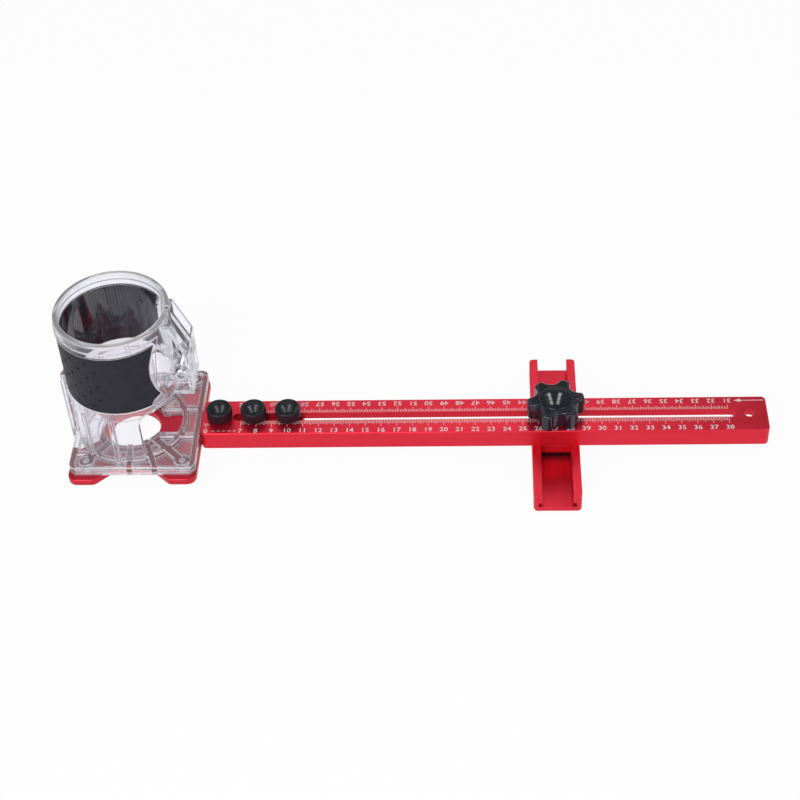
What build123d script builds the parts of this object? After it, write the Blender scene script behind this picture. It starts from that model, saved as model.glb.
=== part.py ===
"""Modular router base: clear trim-router base on a red plate, with a scaled arm and a cross track.

X runs along the arm from the cutter's axis, Y across it and Z up. The origin is on the cutter's
axis in the plane of the base plate's underside. All sizes are in millimetres.
"""
import os
from math import atan2, cos, degrees, hypot, pi, radians, sin

from build123d import *

os.makedirs("parts", exist_ok=True)

# Fits
running_gap = 0.05      # radial gap of a stud that turns in a tapped hole
sliding_gap = 0.15      # gap on each side of a block that slides in a channel
thread_dia = 6.0        # thumb and star studs
slot_clearance = 0.3    # gap on each side of a stud in the arm's slot

# Arm, an inverted channel
arm_start = 44.7
arm_length = 360.0
arm_width = 30.0
arm_height = 13.0
arm_roof = 5.0
arm_side = 3.0
arm_corner = 3.0
arm_edge = 0.5
slot_inset = 20.0
end_hole_inset = 11.5
channel_width = arm_width - 2 * arm_side
roof_under = arm_height - arm_roof
slot_width = thread_dia + 2 * slot_clearance
arm_middle = arm_start + arm_length / 2

# Base plate and its tongue
plate_thick = 4.4
plate_left = -37.2
plate_right = arm_start - 0.5
plate_width = 93.0
plate_corner = 6.0
plate_edge = 0.5
bit_hole_dia = 33.0
front_recess_depth = 8.5
front_recess_floor = 29.5
front_recess_slope = 9.0
front_recess_round = 5.0
side_recess_mouth = 40.0
side_recess_floor = 20.8
side_recess_straight = 3.9
side_recess_depth = 15.5
tongue_reach = 64.3
tongue_root_radius = 2.0
plate_middle = (plate_left + plate_right) / 2
plate_front = plate_width / 2
recess_floor_half = front_recess_floor / 2
recess_mouth_half = recess_floor_half + front_recess_slope
tongue_width = channel_width - 2 * sliding_gap
tongue_end = arm_start + tongue_reach

# Thumb screws, which stand in every second tapped hole of the tongue
tapped_pitch = 11.0
tapped_count = 5
thumb_dia = 16.4
thumb_height = 7.8
thumb_collar_dia = 12.5
thumb_collar_height = 1.0
thumb_chamfer = 1.3
thumb_dish = 0.5
thumb_teeth = 36
thumb_tooth_depth = 0.45
thumb_stud_top = 6.5
tapped_x = [arm_start + end_hole_inset + tapped_pitch * i for i in range(tapped_count)]
thumb_x = tapped_x[::2]

# Clear router base
flange_gap = 0.5        # from the flange to the plate's edge at the arm
flange_left = -36.1
flange_right = plate_right - flange_gap
flange_front = -42.3
flange_back = 46.3
flange_height = 6.2
flange_corner = 5.0
flange_web = 1.7
flange_web_base = 3.2   # height of the web over the plate, which walls and ribs stand on
flange_wall = 2.3
flange_end_wall = 3.6
pocket_corner = 1.5
hub_wall = 4.0
hub_hole_dia = 40.0
collar_dia = 69.0       # low ring round the foot of the barrel
collar_wall = 3.0
chip_slot_width = 19.0
chip_slot_round = 3.0
rib_width = 2.4
floor_rib_width = 3.5
side_rib_feet = ((-1.5, 2.2), (3.6, 18.7))      # X at the axis and at the rim
window_rib_y = 12.3
window_rib_width = 4.0
corner_rib_width = 5.4
edge_rib_y = 27.7
edge_rib_end = -22.0
boss_dia = 10.0
boss_left_inset = 10.5
boss_right_inset = 8.4
boss_side_inset = 7.5
bore_dia = 65.0
barrel_wall = 3.0
barrel_height = 103.1
rim_round = 1.2
sleeve_base = 48.1
sleeve_height = 45.0
sleeve_seat = 1.3       # depth of the seat that the sleeve lies in
sleeve_thick = 1.5
sleeve_room = 0.3       # gap where the sleeve passes behind the guide boss
bead_proud = 0.7        # raised border round the sleeve
bead_width = 3.7
bead_foot = 7.0         # width of the border under the sleeve
window_head = 42.6
window_start = 11.9
window_round = 9.0
skirt_rib_depth = 2.0
skirt_rib_angles = (97, 128)
slit_width = 3.0
bore_radius = bore_dia / 2
barrel_radius = bore_radius + barrel_wall
flange_middle = ((flange_left + flange_right) / 2, (flange_front + flange_back) / 2)
flange_length = flange_right - flange_left
flange_width = flange_back - flange_front
flange_top = plate_thick + flange_height
web_low = plate_thick + flange_web_base
web_top = web_low + flange_web
rim_rows = (flange_front + flange_wall / 2, flange_back - flange_wall / 2)
barrel_top = plate_thick + barrel_height
sleeve_low = plate_thick + sleeve_base
sleeve_high = sleeve_low + sleeve_height
sleeve_inside = barrel_radius - sleeve_seat
sleeve_outside = sleeve_inside + sleeve_thick
bead_radius = barrel_radius + bead_proud
boss_x = (flange_left + boss_left_inset, flange_right - boss_right_inset)
boss_rows = (flange_front + boss_side_inset, flange_back - boss_side_inset)
boss_places = [(x, y) for x in boss_x for y in boss_rows]

# Opening of the grip sleeve over the clamp, as half widths
grip_gap_top = 22.8
grip_gap_belly = 27.2
grip_gap_waist = 23.3
grip_corner = 5.0

# Clamp ears, on both sides of the slit
ear_thick = 4.0
ear_depth = 11.5
ear_wall = 2.4
ear_reach = 45.3
ear_shoulder = 75.6
ear_high = 98.6
clamp_x = 40.2
clamp_height = 62.6
clamp_dia = 5.0
clamp_head_dia = 8.5
clamp_head_height = 5.0
clamp_socket = 4.0
clamp_boss_dia = 10.4
clamp_tail = 2.0
nut_flats = 8.0
nut_height = 4.0
clamp_edge = 0.4
ear_outer = slit_width / 2 + ear_depth
clamp_z = plate_thick + clamp_height
ear_outline = (
    (0, plate_thick + window_head),
    (ear_reach, plate_thick + window_head),
    (ear_reach, plate_thick + ear_shoulder),
    (barrel_radius, plate_thick + ear_high),
    (0, plate_thick + ear_high),
)

# Boss for an edge guide, on the side away from the arm
guide_boss_width = 19.0
guide_boss_reach = 38.6
guide_boss_top = 55.6
guide_boss_step = 5.0
guide_boss_shoulder = 0.6
guide_hole_dia = 6.2
guide_hole_height = 37.6
guide_groove_width = 10.0
guide_groove_depth = 1.6

# Plate screws
plate_screw_dia = 4.0
plate_screw_length = 9.0
plate_screw_head_dia = 8.0
plate_screw_drive = 2.5
plate_screw_tip_room = 0.5

# Cross track
track_x = 270.9
track_offset = 3.2
track_length = 123.6
track_width = 30.0
track_lip = 6.4
track_undercut = 3.7
track_floor = 3.3
track_slot = 19.2
track_undercut_width = 23.8
track_round = 2.0
track_corner = 2.5
track_height = track_lip + track_undercut + track_floor

# Guide block and clamp plate, which carry the track under the arm
block_length = arm_width
block_rise = 5.0
clamp_plate_thick = 2.8

# Star knob
star_dia = 36.2
star_lobes = 6
star_turn = 8.0
star_valley_dia = 26.8
star_scallop_dia = 12.6
star_lobe_round = 2.2
star_height = 12.0
star_top_round = 1.6
star_hub_dia = 20.0
star_hub_height = 2.4
star_cap_dia = 21.0
star_cap_rise = 0.9
star_cap_seat = 1.2
star_cap_round = 0.5
star_stud_depth = 8.0
star_low = arm_height + star_hub_height
star_top = star_low + star_height
star_scallop_ring = (star_valley_dia + star_scallop_dia) / 2


def save(part, name):
    """Labels a finished piece and writes it under its own name."""
    part.label = name
    export_step(part, f"parts/{name}.step")


def bar(x1, y1, x2, y2, width):
    """Adds a straight bar between two points to the sketch in work."""
    turn = degrees(atan2(y2 - y1, x2 - x1))
    with Locations(((x1 + x2) / 2, (y1 + y2) / 2)):
        Rectangle(hypot(x2 - x1, y2 - y1), width, rotation=turn)


# Arm
with BuildPart() as arm_bar:
    with BuildSketch():
        with Locations((arm_middle, 0)):
            RectangleRounded(arm_length, arm_width, arm_corner)
    extrude(amount=arm_height)
    chamfer(arm_bar.faces().sort_by(Axis.Z)[-1].edges(), arm_edge)
    with BuildSketch():
        with Locations((arm_middle, 0)):
            Rectangle(arm_length + 1, channel_width)
    extrude(amount=roof_under, mode=Mode.SUBTRACT)
    with BuildSketch():
        with Locations((arm_middle, 0)):
            SlotOverall(arm_length - 2 * slot_inset, slot_width)
        with Locations((arm_start + end_hole_inset, 0), (arm_start + arm_length - end_hole_inset, 0)):
            Circle(slot_width / 2)
    extrude(amount=arm_height, mode=Mode.SUBTRACT)
save(arm_bar.part, "arm_bar")

# Base plate with the tongue that enters the arm's channel
with BuildPart() as base_plate:
    with BuildSketch():
        with BuildLine():
            Polyline(
                (plate_right, 0),
                (plate_right, plate_front),
                (plate_middle + recess_mouth_half, plate_front),
                (plate_middle + recess_floor_half, plate_front - front_recess_depth),
                (plate_middle - recess_floor_half, plate_front - front_recess_depth),
                (plate_middle - recess_mouth_half, plate_front),
                (plate_left, plate_front),
                (plate_left, side_recess_mouth / 2),
                (plate_left + side_recess_straight, side_recess_mouth / 2),
                (plate_left + side_recess_depth, side_recess_floor / 2),
                (plate_left + side_recess_depth, 0),
            )
            mirror(about=Plane.XZ)
        make_face()
    extrude(amount=plate_thick)
    outer_corners = base_plate.edges().filter_by(Axis.Z).filter_by(
        lambda edge: abs(abs(edge.center().Y) - plate_front) < 0.01
        and min(abs(edge.center().X - plate_left), abs(edge.center().X - plate_right)) < 0.01
    )
    fillet(outer_corners, plate_corner)
    recess_mouths = base_plate.edges().filter_by(Axis.Z).filter_by(
        lambda edge: abs(abs(edge.center().Y) - plate_front) < 0.01
        and abs(abs(edge.center().X - plate_middle) - recess_mouth_half) < 0.01
    )
    fillet(recess_mouths, front_recess_round)
    chamfer(base_plate.faces().sort_by(Axis.Z)[-1].edges(), plate_edge)
    with BuildSketch():
        with Locations(((plate_right + tongue_end) / 2 - plate_corner / 2, 0)):
            Rectangle(tongue_end - plate_right + plate_corner, tongue_width)
    extrude(amount=plate_thick)
    with BuildSketch():
        with Locations(((plate_right + tongue_end) / 2, 0)):
            Rectangle(tongue_end - plate_right, tongue_width)
    extrude(amount=roof_under)
    tongue_corners = base_plate.edges().filter_by(Axis.Z).sort_by(Axis.X)[-2:]
    fillet(tongue_corners, tongue_root_radius)
    with BuildSketch():
        Circle(bit_hole_dia / 2)
        with Locations(*[(x, 0) for x in tapped_x]):
            Circle(thread_dia / 2 + running_gap)
    extrude(amount=max(plate_thick, roof_under), mode=Mode.SUBTRACT)
    with Locations(*[Location((x, y, 0), (180, 0, 0)) for x, y in boss_places]):
        CounterSinkHole(plate_screw_dia / 2 + running_gap, plate_screw_head_dia / 2, plate_thick)
save(base_plate.part, "base_plate")


def sleeve_ring(outer_radius, border=0.0, foot=0.0):
    """Returns the ring of the grip sleeve, open over the clamp, grown by a border and by a foot under it."""
    low = sleeve_low - foot
    high = sleeve_high + border
    corner = grip_corner + border
    top = grip_gap_top - border
    belly = grip_gap_belly - border
    waist = grip_gap_waist - border
    waist_z = low + corner
    belly_z = (waist_z + high) / 2
    with BuildPart() as ring:
        with BuildSketch(Plane.XY.offset(low)):
            Circle(outer_radius)
            Circle(sleeve_inside, mode=Mode.SUBTRACT)
        extrude(amount=high - low)
        with BuildSketch(Plane.YZ):
            with BuildLine():
                Line((0, high + 1), (top, high + 1))
                Line((top, high + 1), (top, high))
                ThreePointArc((top, high), (belly, belly_z), (waist, waist_z))
                RadiusArc((waist, waist_z), (waist + corner, low), corner)
                Line((waist + corner, low), (waist + corner, low - 1))
                Line((waist + corner, low - 1), (0, low - 1))
                mirror(about=Plane.YZ)
            make_face()
        extrude(amount=barrel_radius * 2, mode=Mode.SUBTRACT)
    return ring.part


def sleeve_border():
    """Returns the raised border of the barrel round the sleeve."""
    with BuildPart() as border:
        add(sleeve_ring(bead_radius, bead_width, bead_foot))
        add(sleeve_ring(bead_radius + bead_width), mode=Mode.SUBTRACT)
    return border.part


# Clear router base: flange, barrel, clamp and ribs
with BuildPart() as router_shell:
    # flange, a thin web between pockets above and below it
    with BuildSketch(Plane.XY.offset(plate_thick)):
        with Locations(flange_middle):
            RectangleRounded(flange_length, flange_width, flange_corner)
    extrude(amount=flange_height)
    for pocket_base, pocket_height in ((plate_thick, flange_web_base), (web_top, flange_height)):
        with BuildSketch(Plane.XY.offset(pocket_base)):
            with Locations(flange_middle):
                RectangleRounded(
                    flange_length - 2 * flange_end_wall, flange_width - 2 * flange_wall, pocket_corner
                )
        extrude(amount=pocket_height, mode=Mode.SUBTRACT)
    # clamp ears, hollowed from outside round a boss for the clamp screw
    with BuildSketch(Plane.XZ):
        with BuildLine():
            Polyline(*ear_outline, close=True)
        make_face()
    extrude(amount=ear_outer, both=True)
    for side in (-1, 1):
        with BuildSketch(Plane.XZ.offset(-side * (slit_width / 2 + ear_thick))):
            with BuildLine():
                Polyline(*ear_outline, close=True)
            make_face()
            offset(amount=-ear_wall)
            with Locations((clamp_x, clamp_z)):
                Circle(clamp_boss_dia / 2, mode=Mode.SUBTRACT)
            with Locations((0, clamp_z)):
                Rectangle(clamp_x, rib_width, align=(Align.MIN, Align.CENTER), mode=Mode.SUBTRACT)
        extrude(amount=-side * ear_depth, mode=Mode.SUBTRACT)
    # barrel and skirt, turned about the cutter's axis
    with BuildSketch(Plane.XZ):
        with BuildLine():
            Polyline(
                (bore_radius, plate_thick),
                (barrel_radius, plate_thick),
                (barrel_radius, barrel_top - rim_round),
            )
            RadiusArc(
                (barrel_radius, barrel_top - rim_round), (barrel_radius - rim_round, barrel_top), -rim_round
            )
            Polyline(
                (barrel_radius - rim_round, barrel_top),
                (bore_radius, barrel_top),
                (bore_radius, plate_thick),
            )
        make_face()
    revolve(axis=Axis.Z)
    add(sleeve_border())
    # stiffening ribs down the skirt
    with BuildSketch(Plane.XY.offset(plate_thick)):
        for side in (-1, 1):
            for angle in skirt_rib_angles:
                reach = barrel_radius + skirt_rib_depth
                turn = radians(side * angle)
                bar(0, 0, reach * cos(turn), reach * sin(turn), rib_width)
        Circle(bore_radius, mode=Mode.SUBTRACT)
    extrude(amount=sleeve_base - bead_foot)
    # boss for an edge guide, with a stepped head and a groove down its face
    for boss_base, boss_height, shoulder in (
        (plate_thick, guide_boss_top - guide_boss_step, 0),
        (plate_thick + guide_boss_top - guide_boss_step, guide_boss_step, guide_boss_shoulder),
    ):
        with BuildSketch(Plane.XY.offset(boss_base)):
            Rectangle(
                guide_boss_reach - shoulder,
                guide_boss_width - 2 * shoulder,
                align=(Align.MAX, Align.CENTER),
            )
            Circle(bore_radius, mode=Mode.SUBTRACT)
        extrude(amount=boss_height)
    with BuildSketch(Plane.YZ.offset(-guide_boss_reach)):
        with Locations((0, flange_top)):
            Rectangle(guide_groove_width, guide_boss_top, align=(Align.CENTER, Align.MIN))
    extrude(amount=guide_groove_depth, mode=Mode.SUBTRACT)
    # window of the skirt towards the arm
    with BuildSketch(Plane.XZ):
        with Locations((window_start, web_top)):
            Rectangle(
                bead_radius - window_start,
                plate_thick + window_head - web_top,
                align=(Align.MIN, Align.MIN),
            )
        fillet(vertices().sort_by(Axis.X)[:2].sort_by(Axis.Y)[-1], window_round)
    extrude(amount=bead_radius, both=True, mode=Mode.SUBTRACT)
    # ribs, bosses and a low collar round the barrel's foot, over and under the web
    with BuildSketch(Plane.XY.offset(plate_thick)):
        rim_x = flange_right - flange_end_wall / 2
        for side, rim_y, boss_y in zip((-1, 1), rim_rows, boss_rows):
            for foot, end in side_rib_feet:
                bar(foot, 0, end, rim_y, floor_rib_width)
            bar(0, side * window_rib_y, rim_x, side * window_rib_y, window_rib_width)
            for x in boss_x:
                bar(0, 0, x, boss_y, corner_rib_width)
            bar(flange_left, side * edge_rib_y, edge_rib_end, side * edge_rib_y, window_rib_width)
        with Locations(*boss_places):
            Circle(boss_dia / 2)
    extrude(amount=flange_height)
    for outside, wall, height in (
        (collar_dia / 2, collar_wall, flange_height),
        (hub_hole_dia / 2 + hub_wall, hub_wall, flange_web_base + flange_web),
    ):
        with BuildSketch(Plane.XY.offset(plate_thick)):
            Circle(outside)
            Circle(outside - wall, mode=Mode.SUBTRACT)
        extrude(amount=height)
    # hole in the hub, and the chip slot from it to the collar under the window
    with BuildSketch(Plane.XY.offset(plate_thick)):
        Circle(collar_dia / 2 - collar_wall)
        Rectangle(collar_dia / 2, chip_slot_width, align=(Align.MIN, Align.CENTER), mode=Mode.INTERSECT)
        fillet(vertices().sort_by(Axis.X)[-2:], chip_slot_round)
        Circle(hub_hole_dia / 2)
    extrude(amount=flange_height, mode=Mode.SUBTRACT)
    # motor bore above the ribs, clamp slit and the seat of the grip sleeve
    with BuildSketch(Plane.XY.offset(flange_top)):
        Circle(bore_radius)
    extrude(amount=barrel_height, mode=Mode.SUBTRACT)
    with BuildSketch(Plane.XY.offset(plate_thick + window_head / 2)):
        Rectangle(ear_reach, slit_width, align=(Align.MIN, Align.CENTER))
    extrude(amount=barrel_height, mode=Mode.SUBTRACT)
    add(sleeve_ring(sleeve_outside + sleeve_room), mode=Mode.SUBTRACT)
    # holes for the clamp screw, its nut, the edge guide and the plate screws
    with BuildSketch(Plane.XZ):
        with Locations((clamp_x, clamp_z)):
            Circle(clamp_dia / 2 + running_gap)
    extrude(amount=ear_outer, both=True, mode=Mode.SUBTRACT)
    with BuildSketch(Plane.XZ.offset(-ear_outer)):
        with Locations((clamp_x, clamp_z)):
            RegularPolygon(nut_flats / 2 + running_gap, 6, major_radius=False)
    extrude(amount=nut_height, mode=Mode.SUBTRACT)
    with BuildSketch(Plane.YZ.offset(-guide_boss_reach)):
        with Locations((0, plate_thick + guide_hole_height)):
            Circle(guide_hole_dia / 2)
    extrude(amount=guide_boss_reach - bore_radius / 2, mode=Mode.SUBTRACT)
    with BuildSketch(Plane.XY.offset(plate_thick)):
        with Locations(*boss_places):
            Circle(plate_screw_dia / 2 + running_gap)
    extrude(amount=plate_screw_length - plate_thick + plate_screw_tip_room, mode=Mode.SUBTRACT)
save(router_shell.part, "router_shell")

# Grip sleeve
grip_sleeve = sleeve_ring(sleeve_outside)
save(grip_sleeve, "grip_sleeve")

# Plate screws, countersunk from below
for number, (x, y) in enumerate(boss_places, start=1):
    with BuildPart() as plate_screw:
        with BuildSketch(Plane.XZ):
            head_height = (plate_screw_head_dia - plate_screw_dia) / 2
            with BuildLine():
                Polyline(
                    (0, 0),
                    (plate_screw_head_dia / 2, 0),
                    (plate_screw_dia / 2, head_height),
                    (plate_screw_dia / 2, plate_screw_length),
                    (0, plate_screw_length),
                    close=True,
                )
            make_face()
        revolve(axis=Axis.Z)
        with BuildSketch():
            RegularPolygon(plate_screw_drive / 2, 6, major_radius=False)
        extrude(amount=head_height, mode=Mode.SUBTRACT)
    save(plate_screw.part.moved(Location((x, y, 0))), f"plate_screw_{number}")

# Clamp screw and nut
with BuildPart() as clamp_screw:
    with BuildSketch(Plane.XZ.offset(ear_outer)):
        with Locations((clamp_x, clamp_z)):
            Circle(clamp_head_dia / 2)
    extrude(amount=clamp_head_height)
    chamfer(clamp_screw.faces().sort_by(Axis.Y)[0].edges(), clamp_edge)
    with BuildSketch(Plane.XZ.offset(ear_outer)):
        with Locations((clamp_x, clamp_z)):
            Circle(clamp_dia / 2)
    extrude(amount=-(2 * ear_outer + clamp_tail))
    with BuildSketch(Plane.XZ.offset(ear_outer + clamp_head_height)):
        with Locations((clamp_x, clamp_z)):
            RegularPolygon(clamp_socket / 2, 6, major_radius=False)
    extrude(amount=-clamp_head_height / 2, mode=Mode.SUBTRACT)
save(clamp_screw.part, "clamp_screw")

with BuildPart() as clamp_nut:
    with BuildSketch(Plane.XZ.offset(-ear_outer)):
        with Locations((clamp_x, clamp_z)):
            RegularPolygon(nut_flats / 2, 6, major_radius=False)
            Circle(clamp_dia / 2 + running_gap, mode=Mode.SUBTRACT)
    extrude(amount=nut_height)
save(clamp_nut.part, "clamp_nut")

# Thumb screws
for number, x in enumerate(thumb_x, start=1):
    collar_top = arm_height + thumb_collar_height
    with BuildPart() as thumb_head:
        with BuildSketch(Plane.XY.offset(collar_top)):
            with BuildLine():
                tooth = 2 * pi / thumb_teeth
                Polyline(
                    *[
                        (radius * cos(tooth * (i + phase)), radius * sin(tooth * (i + phase)))
                        for i in range(thumb_teeth)
                        for radius, phase in (
                            (thumb_dia / 2, 0),
                            (thumb_dia / 2 - thumb_tooth_depth, 0.5),
                        )
                    ],
                    close=True,
                )
            make_face()
        extrude(amount=thumb_height)
        with BuildSketch(Plane.XZ):
            with BuildLine():
                top = collar_top + thumb_height
                flat = thumb_dia / 2 - thumb_chamfer
                Polyline(
                    (0, collar_top),
                    (thumb_dia / 2 - thumb_tooth_depth, collar_top),
                    (thumb_dia / 2, collar_top + thumb_tooth_depth),
                    (thumb_dia / 2, top - thumb_chamfer),
                    (flat, top),
                    (flat - thumb_dish, top),
                    (flat - 2 * thumb_dish, top - thumb_dish),
                    (0, top - thumb_dish),
                    close=True,
                )
            make_face()
        revolve(axis=Axis.Z, mode=Mode.INTERSECT)
        with BuildSketch(Plane.XY.offset(arm_height)):
            Circle(thumb_collar_dia / 2)
        extrude(amount=thumb_collar_height)
        with BuildSketch(Plane.XY.offset(arm_height)):
            Circle(thread_dia / 2)
        extrude(amount=thumb_stud_top, mode=Mode.SUBTRACT)
    save(thumb_head.part.moved(Location((x, 0, 0))), f"thumb_head_{number}")

    with BuildPart() as thumb_stud:
        with BuildSketch(Plane.XY.offset(plate_edge)):
            Circle(thread_dia / 2)
        extrude(amount=arm_height + thumb_stud_top - plate_edge)
        chamfer(thumb_stud.faces().sort_by(Axis.Z)[0].edges(), plate_edge)
    save(thumb_stud.part.moved(Location((x, 0, 0))), f"thumb_stud_{number}")

# Cross track
with BuildPart() as cross_track:
    with BuildSketch(Plane.XZ.offset(track_length / 2)):
        Rectangle(track_width, track_height, align=(Align.CENTER, Align.MAX))
        fillet(vertices().group_by(Axis.Y)[0], track_round)
        Rectangle(
            track_slot, track_lip + track_undercut, align=(Align.CENTER, Align.MAX), mode=Mode.SUBTRACT
        )
        with Locations((0, -track_lip)):
            Rectangle(
                track_undercut_width, track_undercut, align=(Align.CENTER, Align.MAX), mode=Mode.SUBTRACT
            )
    extrude(amount=-track_length)
    with BuildSketch():
        RectangleRounded(track_width, track_length, track_corner)
    extrude(amount=-track_height, mode=Mode.INTERSECT)
save(cross_track.part.moved(Location((track_x, track_offset, 0))), "cross_track")

# Guide block, square in the arm's channel and in the track's slot
with BuildPart() as guide_block:
    with BuildSketch(Plane.XY.offset(-track_lip + sliding_gap)):
        Rectangle(track_slot - 2 * sliding_gap, block_length)
    extrude(amount=track_lip - sliding_gap)
    with BuildSketch():
        Rectangle(block_length, channel_width - 2 * sliding_gap)
    extrude(amount=block_rise)
    with BuildSketch(Plane.XY.offset(-track_lip)):
        Circle(slot_width / 2)
    extrude(amount=track_lip + block_rise, mode=Mode.SUBTRACT)
save(guide_block.part.moved(Location((track_x, 0, 0))), "guide_block")

# Clamp plate in the track's undercut
with BuildPart() as clamp_plate:
    with BuildSketch(Plane.XY.offset(-track_lip - running_gap)):
        Rectangle(track_undercut_width - 2 * sliding_gap, block_length)
        Circle(thread_dia / 2 + running_gap, mode=Mode.SUBTRACT)
    extrude(amount=-clamp_plate_thick)
save(clamp_plate.part.moved(Location((track_x, 0, 0))), "clamp_plate")

# Star knob with its cap and stud
with BuildPart() as star_knob:
    with BuildSketch(Plane.XY.offset(star_low)):
        Circle(star_dia / 2)
        with PolarLocations(star_scallop_ring, star_lobes, star_turn + 180 / star_lobes):
            Circle(star_scallop_dia / 2, mode=Mode.SUBTRACT)
        fillet(vertices(), star_lobe_round)
    extrude(amount=star_height)
    fillet(star_knob.faces().sort_by(Axis.Z)[-1].edges(), star_top_round)
    with BuildSketch(Plane.XY.offset(arm_height)):
        Circle(star_hub_dia / 2)
    extrude(amount=star_hub_height)
    with BuildSketch(Plane.XY.offset(star_top - star_cap_seat)):
        Circle(star_cap_dia / 2)
    extrude(amount=star_cap_seat, mode=Mode.SUBTRACT)
    with BuildSketch(Plane.XY.offset(arm_height)):
        Circle(thread_dia / 2)
    extrude(amount=star_stud_depth, mode=Mode.SUBTRACT)
save(star_knob.part.moved(Location((track_x, 0, 0))), "star_knob")

with BuildPart() as star_cap:
    with BuildSketch(Plane.XY.offset(star_top - star_cap_seat)):
        Circle(star_cap_dia / 2)
    extrude(amount=star_cap_seat + star_cap_rise)
    fillet(star_cap.faces().sort_by(Axis.Z)[-1].edges(), star_cap_round)
save(star_cap.part.moved(Location((track_x, 0, 0))), "star_cap")

with BuildPart() as star_stud:
    stud_low = -track_lip - running_gap - clamp_plate_thick
    with BuildSketch(Plane.XY.offset(stud_low)):
        Circle(thread_dia / 2)
    extrude(amount=arm_height + star_stud_depth - stud_low)
    chamfer(star_stud.faces().sort_by(Axis.Z)[0].edges(), plate_edge)
save(star_stud.part.moved(Location((track_x, 0, 0))), "star_stud")
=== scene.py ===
"""Looks of the modular router base: finishes, scale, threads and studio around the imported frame.

Everything is in metres in the part's own frame: X along the arm, Y across it and Z up.
"""

from math import cos, hypot, pi, radians, sin

import bmesh
import bpy
from mathutils import Matrix, Vector


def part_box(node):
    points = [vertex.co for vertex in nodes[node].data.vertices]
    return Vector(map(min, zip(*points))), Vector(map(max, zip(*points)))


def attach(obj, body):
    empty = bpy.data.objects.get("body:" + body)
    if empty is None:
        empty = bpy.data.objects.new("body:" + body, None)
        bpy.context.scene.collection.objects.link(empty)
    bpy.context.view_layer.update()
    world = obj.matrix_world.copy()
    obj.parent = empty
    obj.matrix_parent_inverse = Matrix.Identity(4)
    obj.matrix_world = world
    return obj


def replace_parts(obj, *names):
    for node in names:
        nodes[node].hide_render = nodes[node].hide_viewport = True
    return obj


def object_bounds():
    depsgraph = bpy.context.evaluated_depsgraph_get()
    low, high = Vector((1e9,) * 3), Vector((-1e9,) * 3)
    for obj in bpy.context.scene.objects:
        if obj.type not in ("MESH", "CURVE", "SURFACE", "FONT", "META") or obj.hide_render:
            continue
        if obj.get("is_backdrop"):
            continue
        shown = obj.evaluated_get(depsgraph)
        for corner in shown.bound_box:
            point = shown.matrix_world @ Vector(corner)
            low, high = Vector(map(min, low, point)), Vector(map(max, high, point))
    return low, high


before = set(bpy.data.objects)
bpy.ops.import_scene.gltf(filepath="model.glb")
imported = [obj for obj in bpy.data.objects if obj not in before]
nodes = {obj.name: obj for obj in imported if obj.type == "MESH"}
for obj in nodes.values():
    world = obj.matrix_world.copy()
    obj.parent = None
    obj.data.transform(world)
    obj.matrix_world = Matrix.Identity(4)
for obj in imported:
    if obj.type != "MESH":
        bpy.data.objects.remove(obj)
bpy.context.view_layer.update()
MM = 0.001

# Camera, fitted to the arm's scale in the photograph
camera_target = Vector((170.5, 27.6, 0.0)) * MM
camera_distance = 1137.3 * MM
camera_pitch = 44.356
camera_yaw = -4.077
camera_roll = -3.376
focal_pixels = 1734.4
photo_pixels = 800
sensor_width = 36.0
camera_reach = 20.0

# Arm, its top read from the frame
arm_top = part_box("arm_bar")[1].z
slot_half = 3.3 * MM

# Scale on the arm
mark_height = 0.02 * MM
tick_width = 0.26 * MM
tick_gap = 0.4 * MM
front_first, front_last = 7, 38
back_first, back_last = 31, 62
back_zero = 690
front_lengths = {"mm": 2.8, "half": 3.8, "cm": 5.2}
back_lengths = {"mm": 2.1, "half": 2.9, "cm": 4.0}
digit_height = 3.7 * MM
digit_squeeze = 1.08
digit_bold = 0.02 * MM
digit_share = 0.73      # height of a digit as a share of the font's size
digit_steps = 3
front_digit_y = -12.4 * MM
back_digit_y = 11.1 * MM
zero_x = 48.0 * MM
zero_tick = (-8.0 * MM, -9.9 * MM)
dash_start, dash_pitch, dash_length, dash_count = 51.9 * MM, 3.45 * MM, 1.7 * MM, 5
dash_width = 0.35 * MM
ring_places = ((47.2, -6.6), (49.0, -6.6))
ring_radius = 0.78 * MM
ring_width = 0.22 * MM
ring_sides = 20
arrow_tip, arrow_neck, arrow_tail = 384.3 * MM, 388.6 * MM, 403.2 * MM
arrow_y = 11.3 * MM
arrow_half = 1.5 * MM
arrow_shaft = 0.5 * MM

# Grip sleeve's dimples, staggered from column to column
dimple_start = -112.0
dimple_turn = 9.5
dimple_columns = 29
dimple_pitch = 11.45 * MM
dimple_low = 57.2 * MM
dimple_radius = 1.2 * MM
dimple_depth = 1.0 * MM
dimple_skin = 0.15 * MM     # what lies deeper than this is in a dimple
dimple_detail = 3
weld_gap = 0.001 * MM
cylinder_cosine = 0.985     # faces that turn less than this from a cylinder are shaded round

# Studio, with each lamp's azimuth, elevation, distance and power
floor_radius = 4.0
floor_sides = 64
floor_gap = 0.02 * MM
floor_glow = 0.95
sky_light = 0.4
sky_dark = 0.3
sky_fade = (0.2, 0.55)
lamp_side = 1.0
lamps = {"key": (-25, 34, 1.6, 15), "fill": (50, 30, 1.8, 7)}

# Narrow lamps behind the part, whose streaks show on the domes: azimuths and power, then what all share
streaks = {"star_cap": ((186, 172), 0.003), "thumb_head_2": ((198.5, 184), 0.0022)}
streak_lifts = (40, 48, 56)
streak_distance = 1.7
streak_spread = 13.0
streak_size = (0.09, 0.24)

# Softened edges: rays of the bevel, and the cosine under which a turned normal counts as an edge
edge_rays = 6
edge_cosine = 0.99

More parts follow.
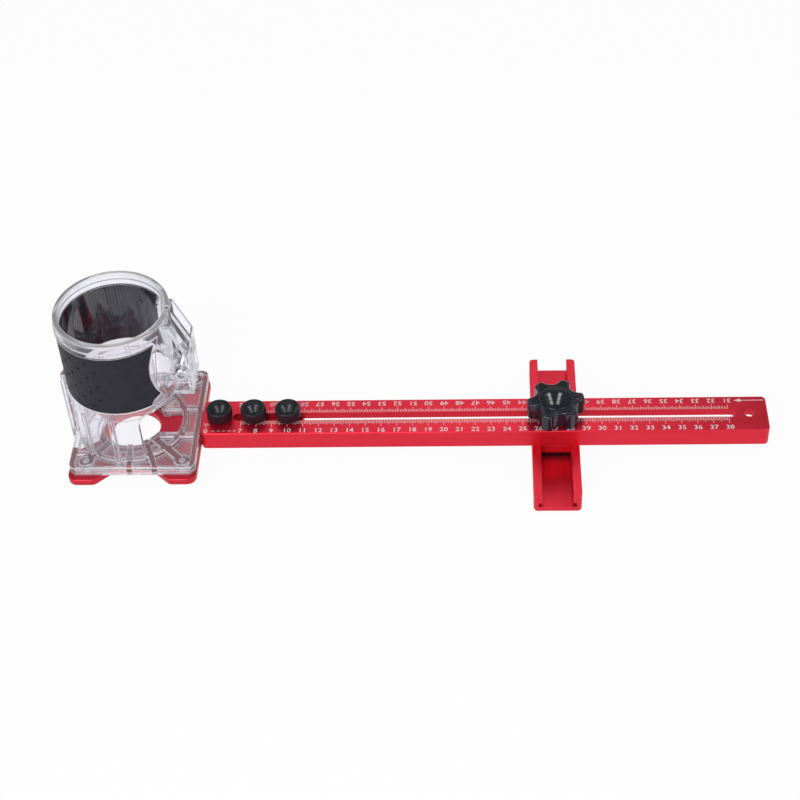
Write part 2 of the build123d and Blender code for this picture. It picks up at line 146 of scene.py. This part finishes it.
# Colours, each pair from its darker to its paler tone
red_tones = ((0.62, 0.013, 0.034), (0.71, 0.019, 0.046))
# painted highlight colour that the red parts' edges turn towards
red_edge_highlight = (0.86, 0.12, 0.16, 1)
clear_tone = (0.90, 0.90, 0.95, 1)
clear_through = (0.93, 0.93, 0.95, 1)
rubber_tones = ((0.012, 0.012, 0.018), (0.017, 0.017, 0.025))
plastic_tones = ((0.007, 0.009, 0.015), (0.010, 0.012, 0.020))
anodised_tones = ((0.009, 0.011, 0.017), (0.014, 0.017, 0.024))
# painted highlight colour that the knurl's crests and edges turn towards
anodised_edge_highlight = (0.075, 0.080, 0.092, 1)
zinc_tones = ((0.50, 0.50, 0.53), (0.66, 0.66, 0.68))
black_steel_tones = ((0.03, 0.03, 0.035), (0.05, 0.05, 0.055))
mark_tones = ((0.72, 0.64, 0.66), (0.86, 0.80, 0.82))
floor_tone = (0.93, 0.93, 0.93, 1)
white_light = (1, 1, 1, 1)

# Clear plastic, as heights in millimetres and the share of light that passes there
clear_shares = (
    (4.5, 0.97),
    (5.0, 0.74),
    (7.3, 0.74),
    (7.6, 0.95),
    (9.3, 0.95),
    (9.6, 0.76),
    (10.4, 0.76),
    (10.6, 0.88),
    (11.2, 0.88),
    (13.0, 0.93),
    (16.0, 0.96),
    (40.0, 0.96),
    (45.0, 0.9),
    (52.0, 0.9),
    (53.5, 0.998),
    (104.0, 0.998),
    (106.5, 0.7),
)
clear_reach = 120.0     # height of the ramp's end

# Fasteners with the threads that the solids leave plain, in millimetres
thread_steps = 6
thread_sides = 24
thread_depth = 0.6      # share of the pitch
thread_end = 0.3
plate_screw_form = {"flats": 2.5, "socket": 1.6, "head": 4.0, "cone": 2.0, "shank": 2.0, "pitch": 0.8}
stud_pitch = 1.0
stud_chamfer = 0.5
clamp_form = {"flats": 4.0, "socket": 2.5, "head": 4.25, "height": 5.0, "shank": 2.5, "pitch": 0.8}
clamp_chamfer = 0.4

# Thumb heads and star cap, in millimetres
turned_sides = 144
thumb_flutes = 36
thumb_form = {"bore": 3.0, "bore_top": 6.5, "collar": 6.25, "collar_top": 1.0, "radius": 8.2, "taper": 0.1}
thumb_flute = 0.6
thumb_rim = {"shoulder": 8.0, "top": 7.6, "inside": 7.2}
thumb_dome = 30.0
sharp_turn = 28         # degrees from which an edge stays sharp
cap_dome = 50.0
cap_edge = {"wall": 0.15, "round": 0.35}
dome_steps = 10


def material(name, **values):
    """Returns a new material, its node tree and its Principled node with these values set."""
    made = bpy.data.materials.new(name)
    made.use_nodes = True
    surface = made.node_tree.nodes["Principled BSDF"]
    for socket, value in values.items():
        surface.inputs[socket.replace("_", " ")].default_value = value
    return made, made.node_tree, surface


def in_scene(name, data):
    """Returns a new object with this data, linked into the scene."""
    made = bpy.data.objects.new(name, data)
    bpy.context.scene.collection.objects.link(made)
    return made


def combined(tree, operation, first, second):
    """Returns a socket with two sockets combined by an operation of the Math node."""
    made = tree.nodes.new("ShaderNodeMath")
    made.operation = operation
    tree.links.new(first, made.inputs[0])
    tree.links.new(second, made.inputs[1])
    return made.outputs["Value"]


def show_mix(tree, factor, first, second):
    """Shows the first shader where factor is 0 and the second where it is 1."""
    mixed = tree.nodes.new("ShaderNodeMixShader")
    tree.links.new(factor, mixed.inputs["Fac"])
    tree.links.new(first, mixed.inputs[1])
    tree.links.new(second, mixed.inputs[2])
    tree.links.new(mixed.outputs["Shader"], tree.nodes["Material Output"].inputs["Surface"])


def place(tree, stretch=(1, 1, 1)):
    """Returns a socket with the piece's own coordinates in millimetres, divided by stretch."""
    source = tree.nodes.new("ShaderNodeTexCoord")
    mapping = tree.nodes.new("ShaderNodeMapping")
    mapping.inputs["Scale"].default_value = [1 / (MM * s) for s in stretch]
    tree.links.new(source.outputs["Object"], mapping.inputs["Vector"])
    return mapping.outputs["Vector"]


def noise(tree, size, detail=3.0, stretch=(1, 1, 1)):
    """Returns a noise socket whose lumps are about size millimetres wide."""
    made = tree.nodes.new("ShaderNodeTexNoise")
    made.inputs["Scale"].default_value = 1 / size
    made.inputs["Detail"].default_value = detail
    tree.links.new(place(tree, stretch), made.inputs["Vector"])
    return made.outputs["Fac"]


def between(tree, factor, low, high, start=0.3, end=0.7):
    """Returns a socket that runs from low to high as factor runs from start to end."""
    made = tree.nodes.new("ShaderNodeMapRange")
    made.inputs["From Min"].default_value = start
    made.inputs["From Max"].default_value = end
    made.inputs["To Min"].default_value = low
    made.inputs["To Max"].default_value = high
    tree.links.new(factor, made.inputs["Value"])
    return made.outputs["Result"]


def two_tone(tree, factor, first, second, start=0.3, end=0.7):
    """Returns a colour socket that runs from the first colour to the second."""
    made = tree.nodes.new("ShaderNodeValToRGB")
    made.color_ramp.elements[0].position = start
    made.color_ramp.elements[0].color = (*first, 1)
    made.color_ramp.elements[1].position = end
    made.color_ramp.elements[1].color = (*second, 1)
    tree.links.new(factor, made.inputs["Fac"])
    return made.outputs["Color"]


def bumps(tree, surface, height, depth, under=None):
    """Raises the surface by depth millimetres where height is 1, over another normal if one is given."""
    made = tree.nodes.new("ShaderNodeBump")
    made.inputs["Distance"].default_value = depth * MM
    tree.links.new(height, made.inputs["Height"])
    if under is not None:
        tree.links.new(under, made.inputs["Normal"])
    tree.links.new(made.outputs["Normal"], surface.inputs["Normal"])


def soft_edges(tree, radius, full=0.8):
    """Returns a normal that rounds edges to a radius in millimetres, and a mask of them, full at a cosine."""
    rounded = tree.nodes.new("ShaderNodeBevel")
    rounded.samples = edge_rays
    rounded.inputs["Radius"].default_value = radius * MM
    flat = tree.nodes.new("ShaderNodeNewGeometry")
    dot = tree.nodes.new("ShaderNodeVectorMath")
    dot.operation = "DOT_PRODUCT"
    tree.links.new(rounded.outputs["Normal"], dot.inputs[0])
    tree.links.new(flat.outputs["Normal"], dot.inputs[1])
    return rounded.outputs["Normal"], between(tree, dot.outputs["Value"], 1, 0, full, edge_cosine)


def rubbed(tree, tone, edges, share, highlight_tone):
    """Returns a colour socket that turns from its tone towards a painted highlight colour by this share at
    the edges.
    """
    mixed = tree.nodes.new("ShaderNodeMix")
    mixed.data_type = "RGBA"
    mixed.inputs["B"].default_value = highlight_tone
    tree.links.new(between(tree, edges, 0, share, 0, 1), mixed.inputs["Factor"])
    tree.links.new(tone, mixed.inputs["A"])
    return mixed.outputs["Result"]


def red_anodised(name, stretch, depth=1.0):
    """Dyed anodised aluminium with a fine grain along its stretch, and edges made paler by a painted
    highlight.
    """
    made, tree, surface = material(name, Metallic=0.72, Specular_IOR_Level=0.5)
    normal, edges = soft_edges(tree, 0.35)
    dark, light = ((red * depth, green, blue) for red, green, blue in red_tones)
    tone = two_tone(tree, noise(tree, 9.0, 4, stretch), dark, light)
    # Painted highlight: the edges turn paler through the bevel's edge mask
    tree.links.new(rubbed(tree, tone, edges, 0.55, red_edge_highlight), surface.inputs["Base Color"])
    grain = noise(tree, 0.22, 2, stretch)
    tree.links.new(between(tree, grain, 0.34, 0.46), surface.inputs["Roughness"])
    bumps(tree, surface, grain, 0.012, normal)
    return made


def by_height(tree, stops):
    """Returns a socket with a share for the height in the piece's own frame, between stops in millimetres."""
    split = tree.nodes.new("ShaderNodeSeparateXYZ")
    tree.links.new(place(tree, (1, 1, clear_reach)), split.inputs["Vector"])
    ramp = tree.nodes.new("ShaderNodeValToRGB")
    ramp.color_ramp.elements[1].position = 1
    for height, _ in stops[1:-1]:
        ramp.color_ramp.elements.new(height / clear_reach)
    for element, (height, share) in zip(ramp.color_ramp.elements, stops):
        element.position = height / clear_reach
        element.color = (share, share, share, 1)
    tree.links.new(split.outputs["Z"], ramp.inputs["Fac"])
    return ramp.outputs["Color"]


def clear_plastic():
    """Clear moulded plastic, hazier in the flange and rim, and pale along its edges as a painted highlight.
    """
    made, tree, surface = material("clear_plastic", Base_Color=clear_tone, IOR=1.49)
    normal, edges = soft_edges(tree, 1.0, 0.88)
    # Painted highlight: the edges pass little light, so the pale tone shows there as white outlines
    kept = combined(tree, "MULTIPLY", by_height(tree, clear_shares), between(tree, edges, 1, 0.1, 0, 1))
    tree.links.new(kept, surface.inputs["Transmission Weight"])
    tree.links.new(between(tree, edges, 0.02, 0.3, 0, 1), surface.inputs["Roughness"])
    bumps(tree, surface, noise(tree, 7.0, 2), 0.05, normal)
    rays = tree.nodes.new("ShaderNodeLightPath").outputs
    either = combined(tree, "MAXIMUM", rays["Is Shadow Ray"], rays["Is Diffuse Ray"])
    through = tree.nodes.new("ShaderNodeBsdfTransparent")
    through.inputs["Color"].default_value = clear_through
    show_mix(tree, either, surface.outputs["BSDF"], through.outputs["BSDF"])
    return made


def grip_rubber():
    """Matt moulded rubber with a fine grain."""
    made, tree, surface = material("grip_rubber", Specular_IOR_Level=0.2)
    tone = two_tone(tree, noise(tree, 5.0, 4), *rubber_tones)
    tree.links.new(tone, surface.inputs["Base Color"])
    grain = noise(tree, 0.3, 3)
    tree.links.new(between(tree, grain, 0.5, 0.62), surface.inputs["Roughness"])
    bumps(tree, surface, grain, 0.03)
    return made


def black_plastic():
    """Glossy black moulded plastic with a faint orange peel."""
    made, tree, surface = material("black_plastic", Specular_IOR_Level=0.4)
    tone = two_tone(tree, noise(tree, 6.0), *plastic_tones)
    tree.links.new(tone, surface.inputs["Base Color"])
    tree.links.new(between(tree, noise(tree, 2.5), 0.05, 0.08), surface.inputs["Roughness"])
    normal, _ = soft_edges(tree, 0.4)
    bumps(tree, surface, noise(tree, 1.4, 2), 0.012, normal)
    return made


def black_anodised():
    """Black anodised aluminium, satin, with the crests of the knurl and its other edges made paler by a
    painted highlight.
    """
    made, tree, surface = material("black_anodised", Metallic=0.25, Specular_IOR_Level=0.4)
    normal, edges = soft_edges(tree, 0.25, 0.9)
    tone = two_tone(tree, noise(tree, 3.0), *anodised_tones)
    # Painted highlight: crests and edges turn pale grey through the bevel's edge mask
    tree.links.new(rubbed(tree, tone, edges, 0.8, anodised_edge_highlight), surface.inputs["Base Color"])
    grain = noise(tree, 0.25, 2)
    tree.links.new(between(tree, grain, 0.1, 0.17), surface.inputs["Roughness"])
    bumps(tree, surface, grain, 0.003, normal)
    return made


def steel(name, tones, roughness):
    """Plated or blackened steel with a fine grain."""
    made, tree, surface = material(name, Metallic=1.0)
    tone = two_tone(tree, noise(tree, 1.2), *tones)
    tree.links.new(tone, surface.inputs["Base Color"])
    grain = noise(tree, 0.15, 2)
    tree.links.new(between(tree, grain, roughness, roughness + 0.12), surface.inputs["Roughness"])
    bumps(tree, surface, grain, 0.006)
    return made


def etched_white():
    """Pale laser marking, a little uneven."""
    made, tree, surface = material("etched_white", Roughness=0.6)
    tone = two_tone(tree, noise(tree, 0.6), *mark_tones)
    tree.links.new(tone, surface.inputs["Base Color"])
    return made


def dress(name, made):
    """Gives a carried-over node its finish."""
    target = nodes[name]
    if not target.material_slots:
        target.data.materials.append(made)
    for holder in target.material_slots:
        holder.material = made


def new_piece(name, mesh, made, body):
    """Puts a mesh into the scene as a piece that rides on a body."""
    piece = in_scene(name, mesh)
    mesh.materials.clear()
    mesh.materials.append(made)
    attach(piece, body)
    return piece


def mesh_of(name, form):
    """Turns a bmesh into a mesh with outward faces."""
    bmesh.ops.recalc_face_normals(form, faces=form.faces)
    mesh = bpy.data.meshes.new(name)
    form.to_mesh(mesh)
    form.free()
    return mesh


def prism(form, outline, low, high):
    """Adds a closed prism over a flat outline of XY points."""
    bottom = [form.verts.new((x, y, low)) for x, y in outline]
    top = [form.verts.new((x, y, high)) for x, y in outline]
    form.faces.new(bottom[::-1])
    form.faces.new(top)
    for i in range(len(outline)):
        j = (i + 1) % len(outline)
        form.faces.new((bottom[i], bottom[j], top[j], top[i]))


def bar(form, x1, y1, x2, y2, width):
    """Adds a straight mark from one point to another on top of the arm."""
    length = hypot(x2 - x1, y2 - y1)
    across = Vector((-(y2 - y1), x2 - x1)) * (width / 2 / length)
    corners = [
        (x1 - across.x, y1 - across.y),
        (x2 - across.x, y2 - across.y),
        (x2 + across.x, y2 + across.y),
        (x1 + across.x, y1 + across.y),
    ]
    prism(form, corners, arm_top, arm_top + mark_height)


def ring(form, x, y):
    """Adds a thin closed ring mark on top of the arm."""
    rows = []
    for reach, height in (
        (ring_radius + ring_width / 2, arm_top),
        (ring_radius - ring_width / 2, arm_top),
        (ring_radius - ring_width / 2, arm_top + mark_height),
        (ring_radius + ring_width / 2, arm_top + mark_height),
    ):
        turns = (2 * pi * i / ring_sides for i in range(ring_sides))
        rows.append([form.verts.new((x + reach * cos(t), y + reach * sin(t), height)) for t in turns])
    for row, following in zip(rows, rows[1:] + rows[:1]):
        for i in range(ring_sides):
            j = (i + 1) % ring_sides
            form.faces.new((row[i], row[j], following[j], following[i]))


def number(text, x, y, turn):
    """Returns the mesh of a printed number, centred on a point of the arm's top."""
    curve = bpy.data.curves.new("digits", "FONT")
    curve.body = text
    curve.size = digit_height / digit_share
    curve.align_x = "CENTER"
    curve.resolution_u = digit_steps
    curve.extrude = mark_height / 2
    curve.offset = digit_bold
    writing = in_scene("digits", curve)
    bpy.context.view_layer.update()
    mesh = bpy.data.meshes.new_from_object(writing)
    bpy.data.objects.remove(writing)
    low_y = min(v.co.y for v in mesh.vertices)
    high_y = max(v.co.y for v in mesh.vertices)
    lift = Matrix.Translation((x, y, arm_top + mark_height / 2))
    squeeze = Matrix.Diagonal((digit_squeeze, 1, 1, 1))
    centre = Matrix.Translation((0, -(low_y + high_y) / 2, 0))
    mesh.transform(lift @ Matrix.Rotation(radians(turn), 4, "Z") @ squeeze @ centre)
    return mesh


def arm_scale(made):
    """Ticks, numbers, rings, dashes and arrow on top of the arm."""
    form = bmesh.new()
    for side, lengths in ((-1, front_lengths), (1, back_lengths)):
        for x in range(10 * front_first, 10 * front_last + 1):
            kind = "cm" if x % 10 == 0 else "half" if x % 5 == 0 else "mm"
            start = side * (slot_half + tick_gap)
            bar(form, x * MM, start, x * MM, start + side * lengths[kind] * MM, tick_width)
    for i in range(dash_count):
        start = dash_start + i * dash_pitch
        bar(form, start, front_digit_y, start + dash_length, front_digit_y, dash_width)
    for x, y in ring_places:
        ring(form, x * MM, y * MM)
    bar(form, zero_x, zero_tick[0], zero_x, zero_tick[1], tick_width)
    bar(form, arrow_neck, arrow_y, arrow_tail, arrow_y, arrow_shaft)
    head = [(arrow_tip, arrow_y), (arrow_neck, arrow_y - arrow_half), (arrow_neck, arrow_y + arrow_half)]
    prism(form, head, arm_top, arm_top + mark_height)
    words = [("0", zero_x, front_digit_y, 0)]
    words += [(str(n), 10 * n * MM, front_digit_y, 0) for n in range(front_first, front_last + 1)]
    words += [
        (str(n), (back_zero - 10 * n) * MM, back_digit_y, 180) for n in range(back_first, back_last + 1)
    ]
    for word in words:
        mesh = number(*word)
        form.from_mesh(mesh)
        bpy.data.meshes.remove(mesh)
    return new_piece("arm_scale", mesh_of("arm_scale", form), made, "base")


def round_normals(mesh, radius):
    """Shades the faces that lie on cylinders about Z as round, and every other face as flat."""
    normals = []
    for face in mesh.polygons:
        face.use_smooth = True
        flat = face.normal.copy()
        for index in face.vertices:
            spot = mesh.vertices[index].co
            outward = Vector((spot.x, spot.y, 0)).normalized()
            facing = flat.dot(outward)
            dimple = radius - dimple_depth < hypot(spot.x, spot.y) < radius - dimple_skin
            on_cylinder = abs(facing) > cylinder_cosine and not dimple
            normals.append(outward * (1 if facing > 0 else -1) if on_cylinder else flat)
    mesh.normals_split_custom_set(normals)


def dimpled_sleeve(made):
    """The grip sleeve with staggered dimples cut into it."""
    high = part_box("grip_sleeve")[1]
    radius = high.y
    balls = bmesh.new()
    ball_radius = (dimple_radius**2 + dimple_depth**2) / (2 * dimple_depth)
    for column in range(-1, dimple_columns):
        turn = radians(dimple_start - dimple_turn * column)
        height = dimple_low + (dimple_pitch / 2 if column % 2 else 0)
        while height < high.z - dimple_radius * 2:
            reach = radius + ball_radius - dimple_depth
            spot = Matrix.Translation((reach * cos(turn), reach * sin(turn), height))
            bmesh.ops.create_icosphere(balls, subdivisions=dimple_detail, radius=ball_radius, matrix=spot)
            height += dimple_pitch
    cutter = in_scene("dimples", mesh_of("dimples", balls))
    source = nodes["grip_sleeve"].data.copy()
    skin = in_scene("skin", source)
    form = bmesh.new()
    form.from_mesh(source)
    bmesh.ops.remove_doubles(form, verts=form.verts, dist=weld_gap)
    form.to_mesh(source)
    form.free()
    cut = skin.modifiers.new("cut", "BOOLEAN")
    cut.operation = "DIFFERENCE"
    cut.solver = "EXACT"
    cut.object = cutter
    bpy.context.view_layer.update()
    shape = skin.evaluated_get(bpy.context.evaluated_depsgraph_get())
    mesh = bpy.data.meshes.new_from_object(shape)
    bpy.data.objects.remove(skin)
    bpy.data.objects.remove(cutter)
    round_normals(mesh, radius)
    piece = new_piece("grip_sleeve_skin", mesh, made, "base")
    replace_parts(piece, "grip_sleeve")
    return piece


def circle(radius, height, sides=thread_sides):
    """Returns the points of a level circle."""
    turns = (2 * pi * i / sides for i in range(sides))
    return [(radius * cos(t), radius * sin(t), height) for t in turns]


def hexagon(flats, height):
    """Returns as many points as a circle has, along a hexagon of this width over its flats."""
    points = []
    for i in range(thread_sides):
        turn = 2 * pi * i / thread_sides
        off = (turn + pi / 6) % (pi / 3) - pi / 6
        points.append((flats / 2 / cos(off) * cos(turn), flats / 2 / cos(off) * sin(turn), height))
    return points


def thread(radius, pitch, low, high):
    """Returns the loops of a right-hand thread between two heights."""
    depth = thread_depth * pitch
    count = int((high - low) / pitch * thread_steps)
    loops = []
    for j in range(count + 1):
        height = low + (high - low) * j / count
        loop = []
        for i in range(thread_sides):
            turn = 2 * pi * i / thread_sides
            share = (height / pitch - i / thread_sides) % 1
            reach = radius - depth * abs(2 * share - 1)
            loop.append((reach * cos(turn), reach * sin(turn), height))
        loops.append(loop)
    return loops


def skin_over(name, loops, spot, turn=0.0):
    """Returns the closed mesh over a stack of loops in millimetres, turned about X and set at a spot."""
    form = bmesh.new()
    rows = [[form.verts.new(point) for point in loop] for loop in loops]
    form.faces.new(rows[0][::-1])
    form.faces.new(rows[-1])
    for lower, upper in zip(rows, rows[1:]):
        for i in range(len(lower)):
            j = (i + 1) % len(lower)
            form.faces.new((lower[i], lower[j], upper[j], upper[i]))
    scale = Matrix.Diagonal((MM, MM, MM, 1))
    form.transform(Matrix.Translation(spot) @ Matrix.Rotation(radians(turn), 4, "X") @ scale)
    mesh = mesh_of(name, form)
    mesh.shade_smooth()
    mesh.set_sharp_from_angle(angle=radians(sharp_turn))
    return mesh


def threaded_fasteners(finish):
    """Plate screws, studs and clamp screw with their real threads."""
    for node in sorted(nodes):
        low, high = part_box(node)
        middle = (low + high) / 2
        tall = (high.z - low.z) / MM
        spot = Vector((middle.x, middle.y, low.z))
        body, turn = "base", 0
        if node.startswith("plate_screw"):
            form = plate_screw_form
            loops = [hexagon(form["flats"], form["socket"]), hexagon(form["flats"], 0)]
            loops += [circle(form["head"], 0), circle(form["shank"], form["cone"])]
            loops += thread(form["shank"], form["pitch"], form["cone"] + thread_end, tall - thread_end)
            loops.append(circle(form["shank"] - thread_depth * form["pitch"], tall))
        elif node.endswith("stud") or "_stud_" in node:
            radius = (high.x - low.x) / 2 / MM
            loops = [circle(radius - stud_chamfer, 0)]
            loops += thread(radius, stud_pitch, stud_chamfer, tall - stud_chamfer)
            loops.append(circle(radius - stud_chamfer, tall))
            body = "star" if node == "star_stud" else node.replace("stud", "screw")
        elif node == "clamp_screw":
            form = clamp_form
            long = (high.y - low.y) / MM
            loops = [hexagon(form["flats"], form["socket"]), hexagon(form["flats"], 0)]
            loops += [circle(form["head"] - clamp_chamfer, 0), circle(form["head"], clamp_chamfer)]
            loops += [circle(form["head"], form["height"]), circle(form["shank"], form["height"])]
            loops += thread(form["shank"], form["pitch"], form["height"] + thread_end, long - thread_end)
            loops.append(circle(form["shank"] - thread_depth * form["pitch"], long))
            spot, turn = Vector((middle.x, low.y, middle.z)), -90
        else:
            continue
        mesh = skin_over(node + "_thread", loops, spot, turn)
        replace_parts(new_piece(node + "_thread", mesh, finish, body), node)


def fluted(radius, height):
    """Returns the points of a level circle with a thumb head's flutes."""
    points = []
    for i in range(turned_sides):
        turn = 2 * pi * i / turned_sides
        reach = radius - thumb_flute / 2 * (1 - cos(thumb_flutes * turn))
        points.append((reach * cos(turn), reach * sin(turn), height))
    return points


def dome(radius, width, top):
    """Returns level circles that close a shallow dome of this radius, from its edge inwards."""
    circles = []
    for step in range(dome_steps):
        reach = width * (1 - step / dome_steps)
        circles.append(circle(reach, top - reach**2 / (2 * radius), turned_sides))
    return circles


def turned_heads(head_finish, cap_finish):
    """Fluted thumb heads with a domed face inside a rim, and the domed cap of the star knob."""
    half = thumb_flute / 2
    for node in sorted(nodes):
        low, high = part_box(node)
        middle = (low + high) / 2
        tall = (high.z - low.z) / MM
        spot = Vector((middle.x, middle.y, low.z))
        if node.startswith("thumb_head"):
            form = thumb_form
            wide = form["radius"]
            loops = [circle(form["bore"], height, turned_sides) for height in (form["bore_top"], 0)]
            loops += [circle(form["collar"], height, turned_sides) for height in (0, form["collar_top"])]
            loops.append(circle(wide - thumb_flute, form["collar_top"], turned_sides))
            loops.append(fluted(wide, form["collar_top"] + thumb_flute))
            loops.append(fluted(wide - form["taper"], tall - thumb_flute))
            loops.append(circle(thumb_rim["shoulder"] - half, tall - half, turned_sides))
            loops.append(circle(thumb_rim["top"] - half, tall, turned_sides))
            loops += dome(thumb_dome, thumb_rim["inside"] - half, tall)
            name, finish, slot = node + "_fluted", head_finish, "black_anodised"
            body = node.replace("head", "screw")
        elif node == "star_cap":
            wide = (high.x - low.x) / 2 / MM
            width = wide - cap_edge["round"]
            top = tall + width**2 / (2 * cap_dome) - cap_edge["wall"] - cap_edge["round"]
            edge = top - width**2 / (2 * cap_dome)
            loops = [circle(wide, 0, turned_sides), circle(wide, edge - cap_edge["round"], turned_sides)]
            loops += dome(cap_dome, width, top)
            name, finish, slot, body = "star_cap_domed", cap_finish, "black_cap", "star"
        else:
            continue
        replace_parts(new_piece(name, skin_over(name, loops, spot), finish, body), node)


def softbox(name, azimuth, elevation, distance, width, height, power, target, spread=180.0):
    """Adds a soft lamp turned to a target; azimuth 0 is on the camera's side and 90 to the right."""
    data = bpy.data.lights.new(name, "AREA")
    data.shape = "RECTANGLE"
    data.size = width
    data.size_y = height
    data.energy = power
    data.spread = radians(spread)
    lamp = in_scene(name, data)
    a, e = radians(azimuth), radians(elevation)
    spot = target + Vector((sin(a) * cos(e), -cos(a) * cos(e), sin(e))) * distance
    lamp.location = spot
    lamp.rotation_mode = "QUATERNION"
    lamp.rotation_quaternion = (target - spot).to_track_quat("-Z", "Y")
    lamp.visible_camera = False


def shown_rays(tree):
    """Returns a socket that is 1 for what the eye sees, straight, mirrored or through glass."""
    rays = tree.nodes.new("ShaderNodeLightPath").outputs
    direct = combined(tree, "MAXIMUM", rays["Is Camera Ray"], rays["Is Glossy Ray"])
    return combined(tree, "MAXIMUM", direct, rays["Is Transmission Ray"])


def studio():
    """Pale floor, white surroundings and soft lamps."""
    low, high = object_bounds()
    middle = (low + high) / 2
    form = bmesh.new()
    bmesh.ops.create_circle(form, cap_ends=True, segments=floor_sides, radius=floor_radius)
    floor = in_scene("floor", mesh_of("floor", form))
    floor.location = (middle.x, middle.y, low.z - floor_gap)
    made, tree, surface = material("floor", Base_Color=floor_tone, Roughness=0.9)
    glow = tree.nodes.new("ShaderNodeEmission")
    glow.inputs["Color"].default_value = white_light
    share = tree.nodes.new("ShaderNodeMath")
    share.operation = "MULTIPLY"
    share.inputs[1].default_value = floor_glow
    tree.links.new(shown_rays(tree), share.inputs[0])
    show_mix(tree, share.outputs["Value"], surface.outputs["BSDF"], glow.outputs["Emission"])
    floor.data.materials.append(made)
    floor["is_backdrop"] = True

    world = bpy.data.worlds.new("studio")
    bpy.context.scene.world = world
    world.use_nodes = True
    tree = world.node_tree
    background = tree.nodes["Background"]
    background.inputs["Color"].default_value = white_light
    where = tree.nodes.new("ShaderNodeTexCoord")
    split = tree.nodes.new("ShaderNodeSeparateXYZ")
    tree.links.new(where.outputs["Generated"], split.inputs["Vector"])
    overhead = between(tree, split.outputs["Z"], 1.0, sky_dark, *sky_fade)
    rays = tree.nodes.new("ShaderNodeLightPath")
    seen = tree.nodes.new("ShaderNodeMix")
    tree.links.new(rays.outputs["Is Glossy Ray"], seen.inputs["Factor"])
    tree.links.new(between(tree, shown_rays(tree), sky_light, 1.0, 0, 1), seen.inputs["A"])
    tree.links.new(overhead, seen.inputs["B"])
    tree.links.new(seen.outputs["Result"], background.inputs["Strength"])

    for name, (turn, lift, distance, power) in lamps.items():
        softbox(name, turn, lift, distance, lamp_side, lamp_side, power, middle)
    for node, (turns, power) in streaks.items():
        spot = (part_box(node)[0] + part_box(node)[1]) / 2
        for side, turn in zip(("left", "right"), turns):
            for lift in streak_lifts:
                name = f"streak_{node}_{side}_{lift}"
                softbox(name, turn, lift, streak_distance, *streak_size, power, spot, streak_spread)


def camera():
    """The photograph's own camera."""
    pitch, yaw, roll = (radians(a) for a in (camera_pitch, camera_yaw, camera_roll))
    forward = Vector((sin(yaw) * cos(pitch), cos(yaw) * cos(pitch), -sin(pitch)))
    right = Vector((cos(yaw), -sin(yaw), 0))
    up = right.cross(forward)
    turned_right = right * cos(roll) + up * sin(roll)
    turned_up = up * cos(roll) - right * sin(roll)
    data = bpy.data.cameras.new("camera")
    data.sensor_width = sensor_width
    data.lens = focal_pixels / photo_pixels * sensor_width
    data.clip_end = camera_reach
    eye = in_scene("camera", data)
    turn = Matrix((turned_right, turned_up, -forward)).transposed().to_4x4()
    eye.matrix_world = Matrix.Translation(camera_target - forward * camera_distance) @ turn
    bpy.context.scene.camera = eye


along_x = red_anodised("red_along_arm", (12, 1, 1))
along_y = red_anodised("red_along_track", (1, 12, 1))
milled = red_anodised("red_milled", (1, 1, 1), 0.8)
clear = clear_plastic()
rubber = grip_rubber()
knob = black_plastic()
knurl = black_anodised()
zinc = steel("zinc_steel", zinc_tones, 0.22)
black = steel("black_steel", black_steel_tones, 0.3)
white = etched_white()

finishes = {
    "arm_bar": along_x,
    "base_plate": milled,
    "cross_track": along_y,
    "guide_block": along_y,
    "router_shell": clear,
    "clamp_plate": black,
    "clamp_screw": zinc,
    "clamp_nut": zinc,
    "star_knob": knob,
    "star_cap": knob,
    "star_stud": zinc,
}
for node_name in nodes:
    if node_name.startswith(("plate_screw", "thumb_stud")):
        finishes[node_name] = zinc
    if node_name.startswith("thumb_head"):
        finishes[node_name] = knurl
for node_name, finish in finishes.items():
    dress(node_name, finish)

arm_scale(white)
dimpled_sleeve(rubber)
threaded_fasteners(zinc)
turned_heads(knurl, knob)
studio()
camera()

bpy.context.scene.view_settings.view_transform = "Standard"
